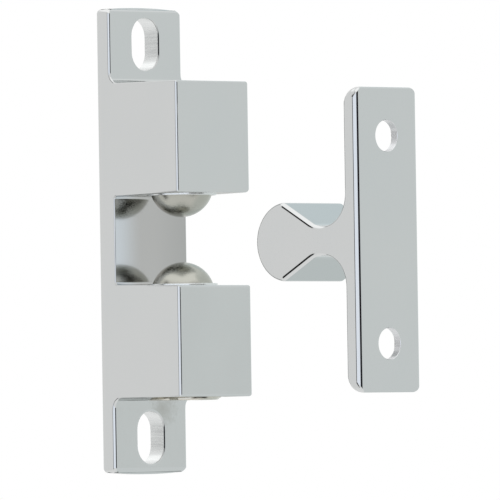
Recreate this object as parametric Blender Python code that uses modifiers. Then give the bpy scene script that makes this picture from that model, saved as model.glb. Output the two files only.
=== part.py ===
"""An adjustable double ball catch for a cupboard door, with its strike.

The catch is one casting: a back plate with a screw slot at each end, and two jaws with a gap between them. A ball
looks out of a bore in each jaw, pushed by a spring that a slotted threaded plug holds from the jaw's outer end.
The strike is another casting, a plate whose tongue ends in a round head that snaps in between the balls.

The origin is at the middle of the catch's back face. +X runs from that face towards the strike, and +Z runs
along the catch. Everything is in metres.
"""

import math

import bmesh
import bpy
from mathutils import Matrix, Vector

MM = 0.001

# The catch's casting
PLATE_THICKNESS = 2.45 * MM
GAP_FLOOR = 3.0 * MM
JAW_HEIGHT = 14.25 * MM
JAW_SIDE_WALL = 1.85 * MM
JAW_FRONT_WALL = 1.05 * MM
JAW_DRAFT = math.radians(1.2)
JAW_ROOT_RADIUS = 1.3 * MM
GAP_CORNER_RADIUS = 0.9 * MM
BODY_EDGE = 0.3 * MM
BODY_CORNER = 0.6 * MM
END_CROWN = 0.25 * MM

# The screw slots in the back plate
SLOT_WIDTH = 4.8 * MM
SLOT_LENGTH = 6.8 * MM
SLOT_ROOT_GAP = 0.4 * MM
SLOT_END_WALL = 1.3 * MM
SLOT_EDGE = 0.12 * MM

# The balls and their bores
BALL_DIAMETER = 8.2 * MM
BALL_GAP = 5.8 * MM
BORE_CLEARANCE = 0.1 * MM
LIP_LAND = 0.1 * MM
LIP_CLEARANCE = 0.03 * MM
COLLAR_HEIGHT = 0.18 * MM
COLLAR_WALL = 0.45 * MM
COLLAR_MARGIN = 0.05 * MM

# The threaded plugs that set the springs
THREAD_STEP = 0.55 * MM
THREAD_CLEARANCE = 0.05 * MM
THREAD_RELIEF = 1.4 * MM
PLUG_LENGTH = 3.8 * MM
PLUG_CHAMFER = 0.16 * MM
PLUG_POCKET = 1.0 * MM
PLUG_SLOT_WIDTH = 1.2 * MM
PLUG_SLOT_DEPTH = 1.2 * MM
UPPER_PLUG_PROUD = -0.1 * MM
LOWER_PLUG_PROUD = 0.38 * MM
UPPER_PLUG_TURN = math.radians(-25)
LOWER_PLUG_TURN = math.radians(-63)

# The springs
WIRE_DIAMETER = 0.6 * MM
COIL_CLEARANCE = 0.7 * MM
COIL_TURNS = 5.5
CLOSED_TURNS = 0.8
SEAT_GAP = 0.25 * MM

# The strike
STRIKE_WIDTH = 11.2 * MM
STRIKE_THICKNESS = 2.4 * MM
STRIKE_EDGE = 0.6 * MM
STRIKE_CORNER = 0.9 * MM
HEAD_RADIUS = 5.0 * MM
HEAD_SHOULDER = 0.8 * MM
HEAD_WRAP = math.radians(97.5)
HEAD_CLEARANCE = 0.95 * MM
NECK_REACH = 6.5 * MM
NECK_THICKNESS = 3.7 * MM
NECK_RADIUS = 4.0 * MM
SCREW_HOLE = 4.0 * MM
SCREW_SPACING = 26.2 * MM
SCREW_INSET = 6.15 * MM
SCREW_HOLE_WALL = 1.0 * MM
COUNTERSINK = math.radians(45)
HOLE_EDGE = 0.12 * MM

# How far the strike's nose stands off the catch's jaws in the photograph, and how far it hangs below their middle
STRIKE_STANDOFF = 12.65 * MM
STRIKE_DROP = 0.9 * MM

# How finely round shapes are faceted, how far a cutter runs past what it cuts, and what counts as one point
ROUND_STEPS = 48
ARC_STEP = math.radians(9)
SPHERE_SEGMENTS = 36
SPHERE_RINGS = 22
COIL_STEPS = 20
OVERRUN = 1.0 * MM
WELD = 0.001 * MM

# Each bore grows out of its ball, each jaw out of its bore, and the gap out of the strike's head
BALL_RADIUS = BALL_DIAMETER / 2
BORE_RADIUS = BALL_RADIUS + BORE_CLEARANCE
THREAD_RADIUS = BORE_RADIUS + THREAD_STEP
PLUG_RADIUS = THREAD_RADIUS - THREAD_CLEARANCE
COIL_RADIUS = BORE_RADIUS - COIL_CLEARANCE - WIRE_DIAMETER / 2
COLLAR_RADIUS = BORE_RADIUS + COLLAR_WALL
BALL_X = GAP_FLOOR + GAP_CORNER_RADIUS + COLLAR_MARGIN + COLLAR_RADIUS
BALL_Z = BALL_GAP / 2 + BALL_RADIUS
JAW_REACH = BALL_X + THREAD_RADIUS + JAW_FRONT_WALL
GAP_HEIGHT = 2 * (HEAD_RADIUS + HEAD_CLEARANCE)
JAW_OUTER_Z = GAP_HEIGHT / 2 + JAW_HEIGHT
# The jaw's inner face leans by its draft, so at the ball's axis the gap is a little lower than at its mouth
JAW_FACE_Z = GAP_HEIGHT / 2 - (JAW_REACH - BALL_X) * math.tan(JAW_DRAFT)
COLLAR_Z = JAW_FACE_Z - COLLAR_HEIGHT
BODY_WIDTH = 2 * (THREAD_RADIUS + JAW_SIDE_WALL)
SLOT_Z = JAW_OUTER_Z + JAW_ROOT_RADIUS + SLOT_ROOT_GAP + SLOT_LENGTH / 2
BODY_LENGTH = 2 * (SLOT_Z + SLOT_LENGTH / 2 + SLOT_END_WALL)

# The strike's places along X, from its nose to its back
TONGUE_REACH = HEAD_RADIUS + NECK_REACH + NECK_RADIUS
STRIKE_LENGTH = SCREW_SPACING + 2 * SCREW_INSET
NOSE_X = JAW_REACH + STRIKE_STANDOFF
HEAD_X = NOSE_X + HEAD_RADIUS
STRIKE_FACE_X = NOSE_X + TONGUE_REACH
STRIKE_BACK_X = STRIKE_FACE_X + STRIKE_THICKNESS


def clear_scene():
    for obj in list(bpy.data.objects):
        bpy.data.objects.remove(obj, do_unlink=True)


def new_collection(name):
    collection = bpy.data.collections.new(name)
    bpy.context.scene.collection.children.link(collection)
    return collection


def metal(name, colour, roughness):
    material = bpy.data.materials.new(name)
    material.use_nodes = True
    shader = material.node_tree.nodes["Principled BSDF"]
    shader.inputs["Base Color"].default_value = (*colour, 1.0)
    shader.inputs["Metallic"].default_value = 1.0
    shader.inputs["Roughness"].default_value = roughness
    return material


def add_object(name, data, collection, material=None, location=(0, 0, 0)):
    obj = bpy.data.objects.new(name, data)
    obj.location = location
    collection.objects.link(obj)
    if material:
        data.materials.append(material)
    return obj


def make_cutter(obj):
    obj.hide_render = True
    obj.display_type = "WIRE"
    return obj


def shade_round(mesh, sharp_angle=math.radians(35)):
    mesh.shade_smooth()
    mesh.set_sharp_from_angle(angle=sharp_angle)


def arc(centre, radius, start, end):
    """Points along an arc, both ends included, in steps of about ARC_STEP."""
    steps = max(2, math.ceil(abs(end - start) / ARC_STEP))
    angles = [start + (end - start) * n / steps for n in range(steps + 1)]
    return [(centre[0] + radius * math.cos(a), centre[1] + radius * math.sin(a)) for a in angles]


def mirrored(points):
    """The points followed by their mirror image in the second coordinate, as one closed outline."""
    return points + [(x, -z) for x, z in reversed(points)]


def prism(name, outline, half_thickness, turn, collection):
    """An outline in its own plane, extruded both ways and made a mesh. turn is a matrix that places that plane."""
    curve = bpy.data.curves.new(name, "CURVE")
    curve.dimensions = "2D"
    curve.fill_mode = "BOTH"
    curve.extrude = half_thickness
    spline = curve.splines.new("POLY")
    spline.points.add(len(outline) - 1)
    for point, (x, y) in zip(spline.points, outline):
        point.co = (x, y, 0, 1)
    spline.use_cyclic_u = True
    source = add_object(name + "_outline", curve, collection)
    source.matrix_world = turn
    bpy.context.view_layer.update()
    evaluated = source.evaluated_get(bpy.context.evaluated_depsgraph_get())
    mesh = bpy.data.meshes.new_from_object(evaluated)
    mesh.name = name
    shape = bmesh.new()
    shape.from_mesh(mesh)
    bmesh.ops.remove_doubles(shape, verts=shape.verts, dist=WELD)
    bmesh.ops.recalc_face_normals(shape, faces=shape.faces)
    shape.to_mesh(mesh)
    shape.free()
    solid = add_object(name, mesh, collection)
    solid.matrix_world = source.matrix_world
    bpy.data.objects.remove(source, do_unlink=True)
    bpy.data.curves.remove(curve)
    return solid


def loft(name, rings, collection):
    """A closed skin over rings of as many points each, in their order, with a flat cap on the first and the last."""
    count = len(rings[0])
    last = (len(rings) - 1) * count
    faces = [range(count), range(last, last + count)]
    for low in range(0, last, count):
        faces += [(low + n, low + (n + 1) % count, low + count + (n + 1) % count, low + count + n) for n in range(count)]
    mesh = bpy.data.meshes.new(name)
    mesh.from_pydata([point for ring in rings for point in ring], [], [list(face) for face in faces])
    shape = bmesh.new()
    shape.from_mesh(mesh)
    bmesh.ops.recalc_face_normals(shape, faces=shape.faces)
    shape.to_mesh(mesh)
    shape.free()
    return add_object(name, mesh, collection)


def along_y():
    """Places a prism whose outline is (x, z), so that it is extruded along Y."""
    return Matrix.Rotation(math.radians(90), 4, "X")


def along_x():
    """Places a prism whose outline is (y, z), so that it is extruded along X."""
    return Matrix(((0, 0, 1, 0), (1, 0, 0, 0), (0, 1, 0, 0), (0, 0, 0, 1)))


def turned(name, profile, collection, place, material=None):
    """A profile of (radius, height) points, from its top down, turned about its own Z axis by a Screw modifier."""
    mesh = bpy.data.meshes.new(name)
    mesh.from_pydata([(r, 0, z) for r, z in profile], [(n, n + 1) for n in range(len(profile) - 1)], [])
    obj = add_object(name, mesh, collection, material)
    obj.matrix_world = place
    screw = obj.modifiers.new("turn", "SCREW")
    screw.axis = "Z"
    screw.angle = math.tau
    screw.screw_offset = 0
    screw.iterations = 1
    screw.steps = ROUND_STEPS
    screw.render_steps = ROUND_STEPS
    screw.use_merge_vertices = True
    screw.merge_threshold = WELD
    screw.use_smooth_shade = True
    return obj


def boolean(target, tool, operation):
    modifier = target.modifiers.new(operation.lower() + "_" + tool.name, "BOOLEAN")
    modifier.operation = operation
    modifier.solver = "EXACT"
    modifier.object = tool
    make_cutter(tool)


def round_edges(target, width, segments):
    """Rounds every edge that is sharper than a facet of an arc."""
    bevel = target.modifiers.new("edges", "BEVEL")
    bevel.width = width
    bevel.segments = segments
    bevel.limit_method = "ANGLE"
    bevel.angle_limit = math.radians(40)
    bevel.use_clamp_overlap = False


def facing(side, x, z):
    """Places a shape on the ball axis at x, with its own +Z pointing out of the upper jaw (side 1) or lower (-1)."""
    turn = Matrix.Identity(4) if side > 0 else Matrix.Rotation(math.pi, 4, "X")
    return Matrix.Translation((x, 0, side * z)) @ turn


def body_outline():
    """The casting's (x, z) outline: plate, jaws and gap. Its ends run long, because the end outline trims them."""
    top = BODY_LENGTH / 2 + OVERRUN
    root = JAW_OUTER_Z + JAW_ROOT_RADIUS
    # The gap's corner is an arc that meets the floor and the jaw's leaning face
    lean = math.pi / 2 - JAW_DRAFT
    corner_x = GAP_FLOOR + GAP_CORNER_RADIUS
    face_at_corner = GAP_HEIGHT / 2 - (JAW_REACH - corner_x) * math.tan(JAW_DRAFT)
    corner_z = face_at_corner - GAP_CORNER_RADIUS / math.cos(JAW_DRAFT)
    points = [(0, top), (PLATE_THICKNESS, top)]
    points += arc((PLATE_THICKNESS + JAW_ROOT_RADIUS, root), JAW_ROOT_RADIUS, math.pi, 1.5 * math.pi)
    points += [(JAW_REACH, JAW_OUTER_Z), (JAW_REACH, GAP_HEIGHT / 2)]
    points += arc((corner_x, corner_z), GAP_CORNER_RADIUS, lean + 2 * JAW_DRAFT, math.pi)
    return mirrored(points)


def end_outline(length, width, corner, crown):
    """A (y, z) outline of a plate with rounded corners, whose ends bulge by crown."""
    half = width / 2
    radius = (half**2 + crown**2) / (2 * crown)
    sweep = math.asin((half - corner) / radius)
    arch_z = length / 2 - radius
    corner_z = arch_z + radius * math.cos(sweep) - corner
    right = arc((half - corner, corner_z), corner, 0, math.pi / 2)
    middle = [(x, arch_z + math.sqrt(radius**2 - x**2)) for x in (half / 2, 0, -half / 2)]
    left = arc((corner - half, corner_z), corner, math.pi / 2, math.pi)
    return mirrored(right + middle + left)


def slot_ring(x, grow, centre_z):
    """The slot's outline at one depth, grown all round."""
    radius = SLOT_WIDTH / 2 + grow
    rise = (SLOT_LENGTH - SLOT_WIDTH) / 2
    outline = arc((0, rise), radius, 0, math.pi) + arc((0, -rise), radius, math.pi, math.tau)
    return [(x, y, centre_z + z) for y, z in outline]


def cut_slot(body, side, collection):
    """A round-ended slot right through the plate, with its front edge broken."""
    name = "upper" if side > 0 else "lower"
    rings = [
        slot_ring(-OVERRUN, 0, side * SLOT_Z),
        slot_ring(PLATE_THICKNESS - SLOT_EDGE, 0, side * SLOT_Z),
        slot_ring(PLATE_THICKNESS + SLOT_EDGE, 2 * SLOT_EDGE, side * SLOT_Z),
    ]
    boolean(body, loft(name + "_slot_cutter", rings, collection), "DIFFERENCE")


def add_collar(body, side, collection):
    """The low ring of metal round the ball's mouth, staked over to keep the ball in."""
    name = "upper" if side > 0 else "lower"
    chamfer = COLLAR_HEIGHT / 2
    root_z = JAW_FACE_Z + OVERRUN
    profile = [
        (0, root_z),
        (COLLAR_RADIUS, root_z),
        (COLLAR_RADIUS, COLLAR_Z + chamfer),
        (COLLAR_RADIUS - chamfer, COLLAR_Z),
        (0, COLLAR_Z),
    ]
    # Half a facet of turn keeps the collar's edges off the bore's
    half_step = Matrix.Rotation(math.pi / ROUND_STEPS, 4, "Z")
    boolean(body, turned(name + "_collar", profile, collection, facing(side, BALL_X, 0) @ half_step), "UNION")


def lip_radius():
    """The mouth's radius: what the ball measures at the land's inner end, and a clearance."""
    return math.sqrt(BALL_RADIUS**2 - (BALL_Z - COLLAR_Z - LIP_LAND) ** 2) + LIP_CLEARANCE


def cut_bore(body, side, collection):
    """The stepped bore: thread at the outer end, the ball's bore, and a mouth that the ball can't pass."""
    name = "upper" if side > 0 else "lower"
    thread_end = JAW_OUTER_Z + min(UPPER_PLUG_PROUD, LOWER_PLUG_PROUD) - PLUG_LENGTH - THREAD_RELIEF
    flare = 2 * PLUG_CHAMFER
    mouth = lip_radius()
    profile = [
        (0, JAW_OUTER_Z + OVERRUN),
        (THREAD_RADIUS + flare + OVERRUN, JAW_OUTER_Z + OVERRUN),
        (THREAD_RADIUS, JAW_OUTER_Z - flare),
        (THREAD_RADIUS, thread_end),
        (BORE_RADIUS, thread_end - THREAD_STEP),
        (BORE_RADIUS, BALL_Z),
        (mouth, COLLAR_Z + LIP_LAND),
        (mouth, COLLAR_Z - OVERRUN),
        (0, COLLAR_Z - OVERRUN),
    ]
    boolean(body, turned(name + "_bore_cutter", profile, collection, facing(side, BALL_X, 0)), "DIFFERENCE")


def build_body(parts, cutters, material):
    body = prism("catch_body", body_outline(), BODY_WIDTH / 2 + OVERRUN, along_y(), parts)
    body.data.materials.append(material)
    outline = end_outline(BODY_LENGTH, BODY_WIDTH, BODY_CORNER, END_CROWN)
    boolean(body, prism("body_ends", outline, JAW_REACH + OVERRUN, along_x(), cutters), "INTERSECT")
    round_edges(body, BODY_EDGE, 2)
    for side in (1, -1):
        cut_slot(body, side, cutters)
        add_collar(body, side, cutters)
        cut_bore(body, side, cutters)
    return body


def build_ball(name, side, parts, material):
    mesh = bpy.data.meshes.new(name)
    shape = bmesh.new()
    bmesh.ops.create_uvsphere(
        shape, u_segments=SPHERE_SEGMENTS, v_segments=SPHERE_RINGS, radius=BALL_RADIUS
    )
    shape.to_mesh(mesh)
    shape.free()
    shade_round(mesh)
    return add_object(name, mesh, parts, material, (BALL_X, 0, side * BALL_Z))


def plug_proud(side):
    return UPPER_PLUG_PROUD if side > 0 else LOWER_PLUG_PROUD


def plug_inner_z(side):
    return JAW_OUTER_Z + plug_proud(side) - PLUG_LENGTH


def build_plug(name, side, turn, parts, cutters, material):
    """The threaded plug, with its origin on its axis at its inner end, a spring pocket and a screwdriver slot."""
    pocket = COIL_RADIUS + WIRE_DIAMETER / 2 + SEAT_GAP
    profile = [
        (0, PLUG_LENGTH),
        (PLUG_RADIUS - PLUG_CHAMFER, PLUG_LENGTH),
        (PLUG_RADIUS, PLUG_LENGTH - PLUG_CHAMFER),
        (PLUG_RADIUS, PLUG_CHAMFER),
        (PLUG_RADIUS - PLUG_CHAMFER, 0),
        (pocket, 0),
        (pocket, PLUG_POCKET),
        (0, PLUG_POCKET),
    ]
    place = facing(side, BALL_X, plug_inner_z(side))
    plug = turned(name, profile, parts, place, material)
    mesh = bpy.data.meshes.new(name + "_slot_cutter")
    shape = bmesh.new()
    bmesh.ops.create_cube(shape, size=1.0)
    size = Vector((2 * (PLUG_RADIUS + OVERRUN), PLUG_SLOT_WIDTH, 2 * PLUG_SLOT_DEPTH))
    bmesh.ops.scale(shape, vec=size, verts=shape.verts)
    shape.to_mesh(mesh)
    shape.free()
    slot = add_object(name + "_slot_cutter", mesh, cutters)
    slot.matrix_world = (
        Matrix.Translation((BALL_X, 0, side * (plug_inner_z(side) + PLUG_LENGTH)))
        @ Matrix.Rotation(turn, 4, "Z")
    )
    boolean(plug, slot, "DIFFERENCE")
    return plug


def coil_height(turn, length):
    """How high the wire has climbed after so many turns: closed coils at both ends, open ones between."""
    closed_rise = CLOSED_TURNS * WIRE_DIAMETER * 1.05
    if turn < CLOSED_TURNS:
        return closed_rise * turn / CLOSED_TURNS
    if turn > COIL_TURNS - CLOSED_TURNS:
        return length - closed_rise * (COIL_TURNS - turn) / CLOSED_TURNS
    share = (turn - CLOSED_TURNS) / (COIL_TURNS - 2 * CLOSED_TURNS)
    return closed_rise + (length - 2 * closed_rise) * share


def build_spring(name, side, parts, material):
    """The spring from the ball's back to the floor of the plug's pocket, with its origin on its axis."""
    wire = WIRE_DIAMETER / 2
    reach = BALL_RADIUS + wire + SEAT_GAP
    start_z = BALL_Z + math.sqrt(reach**2 - COIL_RADIUS**2)
    end_z = plug_inner_z(side) + PLUG_POCKET - wire - SEAT_GAP
    curve = bpy.data.curves.new(name, "CURVE")
    curve.dimensions = "3D"
    curve.bevel_depth = wire
    curve.bevel_resolution = 2
    curve.use_fill_caps = True
    spline = curve.splines.new("POLY")
    count = round(COIL_TURNS * COIL_STEPS) + 1
    spline.points.add(count - 1)
    for n, point in enumerate(spline.points):
        turn = n * COIL_TURNS / (count - 1)
        angle = turn * math.tau
        height = coil_height(turn, end_z - start_z)
        point.co = (COIL_RADIUS * math.cos(angle), COIL_RADIUS * math.sin(angle), height, 1)
    spring = add_object(name, curve, parts, material)
    spring.matrix_world = facing(side, BALL_X, start_z)
    return spring


def strike_outline():
    """The strike's (x, z) outline, from the nose over the head, down the slope, along the neck and round the plate.

    x is measured from the middle of the head. The plate runs long, because the end outline trims it.
    """
    face = NECK_REACH + NECK_RADIUS
    back = face + STRIKE_THICKNESS
    top = STRIKE_LENGTH / 2 + OVERRUN
    groove = Vector((NECK_REACH, NECK_THICKNESS / 2 + NECK_RADIUS))
    shoulder = (HEAD_RADIUS - HEAD_SHOULDER) * Vector((math.cos(HEAD_WRAP), math.sin(HEAD_WRAP)))
    # The slope is the line that touches the shoulder's arc from above and the neck's groove from below
    span = groove - shoulder
    normal = math.atan2(span.y, span.x) + math.acos((NECK_RADIUS + HEAD_SHOULDER) / span.length)
    points = arc((0, 0), HEAD_RADIUS, math.pi, HEAD_WRAP)
    points += arc(shoulder, HEAD_SHOULDER, HEAD_WRAP, normal)[1:]
    points += arc(groove, NECK_RADIUS, normal + math.pi, math.tau)
    points += [(face, top), (back, top)]
    return mirrored(points)[1:]


def strike_place(x, z=0.0):
    """A place on the strike, z from its own middle."""
    return Matrix.Translation((x, 0, z - STRIKE_DROP))


def cut_screw_hole(strike, name, z, collection):
    """A round hole, countersunk from the tongue's side, with its back edge broken."""
    radius = SCREW_HOLE / 2
    wide = radius + (STRIKE_THICKNESS - SCREW_HOLE_WALL) * math.tan(COUNTERSINK)
    profile = [
        (0, OVERRUN),
        (radius + HOLE_EDGE + OVERRUN, OVERRUN),
        (radius, -HOLE_EDGE),
        (radius, -SCREW_HOLE_WALL),
        (wide + OVERRUN * math.tan(COUNTERSINK), -STRIKE_THICKNESS - OVERRUN),
        (0, -STRIKE_THICKNESS - OVERRUN),
    ]
    place = strike_place(STRIKE_BACK_X, z) @ Matrix.Rotation(math.radians(90), 4, "Y")
    boolean(strike, turned(name, profile, collection, place), "DIFFERENCE")


def build_strike(parts, cutters, material):
    place = strike_place(HEAD_X) @ along_y()
    strike = prism("strike", strike_outline(), STRIKE_WIDTH / 2 + OVERRUN, place, parts)
    strike.data.materials.append(material)
    outline = end_outline(STRIKE_LENGTH, STRIKE_WIDTH, STRIKE_CORNER, END_CROWN)
    half_depth = TONGUE_REACH + STRIKE_THICKNESS
    place = strike_place(STRIKE_FACE_X) @ along_x()
    boolean(strike, prism("strike_ends", outline, half_depth, place, cutters), "INTERSECT")
    round_edges(strike, STRIKE_EDGE, 3)
    cut_screw_hole(strike, "upper_screw_hole", SCREW_SPACING / 2, cutters)
    cut_screw_hole(strike, "lower_screw_hole", -SCREW_SPACING / 2, cutters)
    return strike


def main():
    clear_scene()
    parts = new_collection("ball_catch")
    cutters = new_collection("cutters")
    build_body(parts, cutters, metal("polished_chrome_body", (0.60, 0.61, 0.61), 0.08))
    build_strike(parts, cutters, metal("polished_chrome_strike", (0.60, 0.61, 0.61), 0.08))
    for side, place, turn in ((1, "upper", UPPER_PLUG_TURN), (-1, "lower", LOWER_PLUG_TURN)):
        build_ball(place + "_ball", side, parts, metal(place + "_ball_steel", (0.42, 0.41, 0.37), 0.22))
        plug_metal = metal(place + "_adjuster_nickel", (0.66, 0.63, 0.56), 0.25)
        build_plug(place + "_adjuster", side, turn, parts, cutters, plug_metal)
        spring_steel = metal(place + "_spring_steel", (0.45, 0.45, 0.46), 0.3)
        build_spring(place + "_spring", side, parts, spring_steel)
    cutters.hide_render = True


main()
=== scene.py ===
# %% [markdown]
# # Dressing an adjustable double ball catch
# This is a small cupboard-door latch in polished chrome. The catch is a back plate with two square jaws, and
# a steel ball looks out of each jaw into the gap between them. The strike is a plate with a round-headed
# tongue, which snaps in between the balls. The engineering model already holds every size and every joint,
# so this lesson makes only what the eye wants: rounded edges, threads, fine metal and a room to reflect.

# %% Load the engineering model
import math

import bmesh
import bpy
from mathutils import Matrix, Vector


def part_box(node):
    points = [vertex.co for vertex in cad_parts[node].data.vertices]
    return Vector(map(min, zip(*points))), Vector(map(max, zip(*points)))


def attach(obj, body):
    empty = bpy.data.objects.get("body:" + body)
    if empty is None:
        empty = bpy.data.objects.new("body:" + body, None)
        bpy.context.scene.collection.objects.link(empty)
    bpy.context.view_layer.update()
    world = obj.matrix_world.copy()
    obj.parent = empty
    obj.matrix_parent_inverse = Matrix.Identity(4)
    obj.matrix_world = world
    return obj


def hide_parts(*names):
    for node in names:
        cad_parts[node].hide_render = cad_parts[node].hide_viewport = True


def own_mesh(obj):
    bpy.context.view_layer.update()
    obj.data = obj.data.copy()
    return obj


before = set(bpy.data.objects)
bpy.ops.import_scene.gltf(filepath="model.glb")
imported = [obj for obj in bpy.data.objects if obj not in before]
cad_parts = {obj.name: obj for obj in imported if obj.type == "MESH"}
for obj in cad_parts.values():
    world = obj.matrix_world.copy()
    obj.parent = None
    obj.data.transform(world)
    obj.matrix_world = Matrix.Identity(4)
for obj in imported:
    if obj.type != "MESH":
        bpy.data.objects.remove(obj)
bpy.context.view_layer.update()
MM = 0.001
print("nodes to dress:", ", ".join(sorted(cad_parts)))

# %% [markdown]
# ## Sizes
# Most sizes could be typed in again, but then two files would have to agree for ever, so the loaded nodes
# are measured. Only what a box can't tell, such as a wall or a radius, is a value of its own, in the cell
# that first needs it.

# %% Measure the nodes
body_low, body_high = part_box("catch_body")
ball_low, ball_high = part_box("upper_ball")
strike_low, strike_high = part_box("strike")
print("catch", [round(v / MM, 2) for v in body_high - body_low])
print("strike", [round(v / MM, 2) for v in strike_high - strike_low])

# %% [markdown]
# ## The camera
# The photograph was taken with a long lens, from far off and slightly below: edges that run away from the
# camera hardly draw together. The camera is placed by its direction, its distance and the point it looks at,
# and a small roll takes up the picture's lean.

# %% Set up the camera
CAMERA_TURN = math.radians(44.1)
CAMERA_TILT = math.radians(-1.1)
CAMERA_ROLL = math.radians(-0.88)
CAMERA_DISTANCE = 1450 * MM
CAMERA_TARGET = Vector((20.68, 0, -1.62)) * MM
PICTURE_WIDTH = 500
FOCAL_PIXELS = 11370


def add_camera():
    look = Vector((
        -math.sin(CAMERA_TURN) * math.cos(CAMERA_TILT),
        math.cos(CAMERA_TURN) * math.cos(CAMERA_TILT),
        -math.sin(CAMERA_TILT),
    ))
    level = Vector((math.cos(CAMERA_TURN), math.sin(CAMERA_TURN), 0))
    upright = level.cross(look)
    right = level * math.cos(CAMERA_ROLL) + upright * math.sin(CAMERA_ROLL)
    up = upright * math.cos(CAMERA_ROLL) - level * math.sin(CAMERA_ROLL)
    data = bpy.data.cameras.new("photo_camera")
    data.lens = FOCAL_PIXELS * data.sensor_width / PICTURE_WIDTH
    data.clip_start = 0.1
    data.clip_end = 20
    camera = bpy.data.objects.new("photo_camera", data)
    bpy.context.collection.objects.link(camera)
    place = CAMERA_TARGET - look * CAMERA_DISTANCE
    for row in range(3):
        camera.matrix_world[row] = (right[row], up[row], -look[row], place[row])
    bpy.context.scene.camera = camera
    return camera


camera = add_camera()
print("lens", round(camera.data.lens), "mm at", [round(v, 3) for v in camera.matrix_world.translation])

# %% [markdown]
# ## Working by hand, in code
# Blender's edit mode acts on what is selected. By hand that is a click; here a test of each corner's place
# picks the vertices, edges or faces, and all the others are deselected.

# %% Helpers for picking
TINY = 0.002 * MM


def near(value, wanted):
    return abs(value - wanted) < TINY


def pick(kind, test, along=None):
    """Selects only the vertices, edges or faces (VERT, EDGE, FACE) all of whose corners pass a test.

    along, 0 to 2 for X to Z, keeps only the edges that run that way.
    """
    bpy.ops.mesh.select_mode(type=kind)
    bpy.ops.mesh.select_all(action="DESELECT")
    mesh = bpy.context.object.data
    shape = bmesh.from_edit_mesh(mesh)
    found = 0
    for item in {"VERT": shape.verts, "EDGE": shape.edges, "FACE": shape.faces}[kind]:
        corners = [item.co] if kind == "VERT" else [corner.co for corner in item.verts]
        fits = all(test(co) for co in corners)
        if along is not None:
            run = corners[1] - corners[0]
            fits = fits and abs(run[along]) > run.length - TINY
        if fits:
            item.select_set(True)
            found += 1
    bmesh.update_edit_mesh(mesh)
    return found


print("places within", TINY / MM, "mm count as one")

# %% [markdown]
# A tool also works on the active object only, so a piece is taken up before it is worked on. Modifiers could
# stay live, but each is applied at once here, because the next step measures and picks what it made.

# %% Helpers for taking up a piece
def select_whole():
    """Selects all of the open mesh."""
    bpy.ops.mesh.select_all(action="SELECT")


def take_up(piece):
    """Makes a piece the active object, and the only selected one."""
    bpy.ops.object.select_all(action="DESELECT")
    piece.select_set(True)
    bpy.context.view_layer.objects.active = piece


def pull(*move):
    """Extrudes what is selected."""
    bpy.ops.mesh.extrude_region_move(TRANSFORM_OT_translate={"value": move})


def open_primitive():
    """Writes the new primitive's size and place into its mesh, and opens it for editing."""
    bpy.ops.object.transform_apply(location=True, rotation=True, scale=True)
    bpy.ops.object.mode_set(mode="EDIT")
    select_whole()


def close_piece(name):
    """Leaves edit mode with the faces pointing out, and names the piece."""
    select_whole()
    bpy.ops.mesh.normals_make_consistent(inside=False)
    bpy.ops.object.mode_set(mode="OBJECT")
    piece = bpy.context.object
    piece.name = piece.data.name = name
    return piece


def apply_modifier(piece, kind, **settings):
    """Adds a modifier, sets it up and applies it."""
    take_up(piece)
    modifier = piece.modifiers.new(kind.lower(), kind)
    for key, value in settings.items():
        setattr(modifier, key, value)
    bpy.ops.object.modifier_apply(modifier=modifier.name)


def combine(piece, tool, operation):
    """Cuts the tool out of the piece, or joins it on, and puts the tool away."""
    apply_modifier(piece, "BOOLEAN", object=tool, operation=operation, solver="EXACT")
    bpy.data.objects.remove(tool, do_unlink=True)


print("piece helpers ready")

# %% [markdown]
# Some shapes begin as an outline. Blender has no primitive for a single vertex, so a small plane is merged to
# its middle; extruding that vertex draws straights, and spinning it draws arcs.

# %% Helpers for drawing a line
def start_line(point):
    """Begins a drawn line with one vertex."""
    bpy.ops.object.select_all(action="DESELECT")
    bpy.ops.mesh.primitive_plane_add(size=1 * MM, location=point)
    open_primitive()
    bpy.ops.mesh.select_mode(type="VERT")
    select_whole()
    bpy.ops.mesh.merge(type="CENTER")


def line_to(*steps):
    """Pulls the selected vertex on by each (x, z) step."""
    for x, z in steps:
        pull(x, 0, z)


def swing(x, z, degrees, steps):
    """Carries the selected vertex round a centre in the XZ plane, anticlockwise as seen from the front."""
    bpy.ops.mesh.spin(steps=steps, angle=math.radians(degrees), center=(x, 0, z), axis=(0, 1, 0))


def merge_all():
    """Joins the vertices that lie in one place."""
    select_whole()
    bpy.ops.mesh.remove_doubles(threshold=TINY)


print("line helpers ready")

# %% [markdown]
# ## The catch's casting
# The real casting is zinc, poured in one piece, then ground, polished and plated. It could be a Boolean of
# boxes, but modelled as one block its whole side stays a single face: a plate is cut across, two jaws are
# pulled out of it, and the gap widens a little towards its mouth, so that the mould could let go.

# %% Pull the jaws out of the plate
BODY_WIDTH = body_high.y - body_low.y
BODY_LENGTH = body_high.z - body_low.z
JAW_REACH = body_high.x
PLATE_THICKNESS = 2.45 * MM
GAP_FLOOR = 3.0 * MM
GAP_HALF = 5.95 * MM
JAW_OUTER_Z = 20.2 * MM
JAW_DRAFT = math.radians(1.2)
END_CROWN = 0.25 * MM


def side_ridge(z):
    """Tests for the edges across the plate's front at this distance from the middle."""
    return lambda co: near(co.x, PLATE_THICKNESS) and near(abs(co.z), z)


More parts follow.
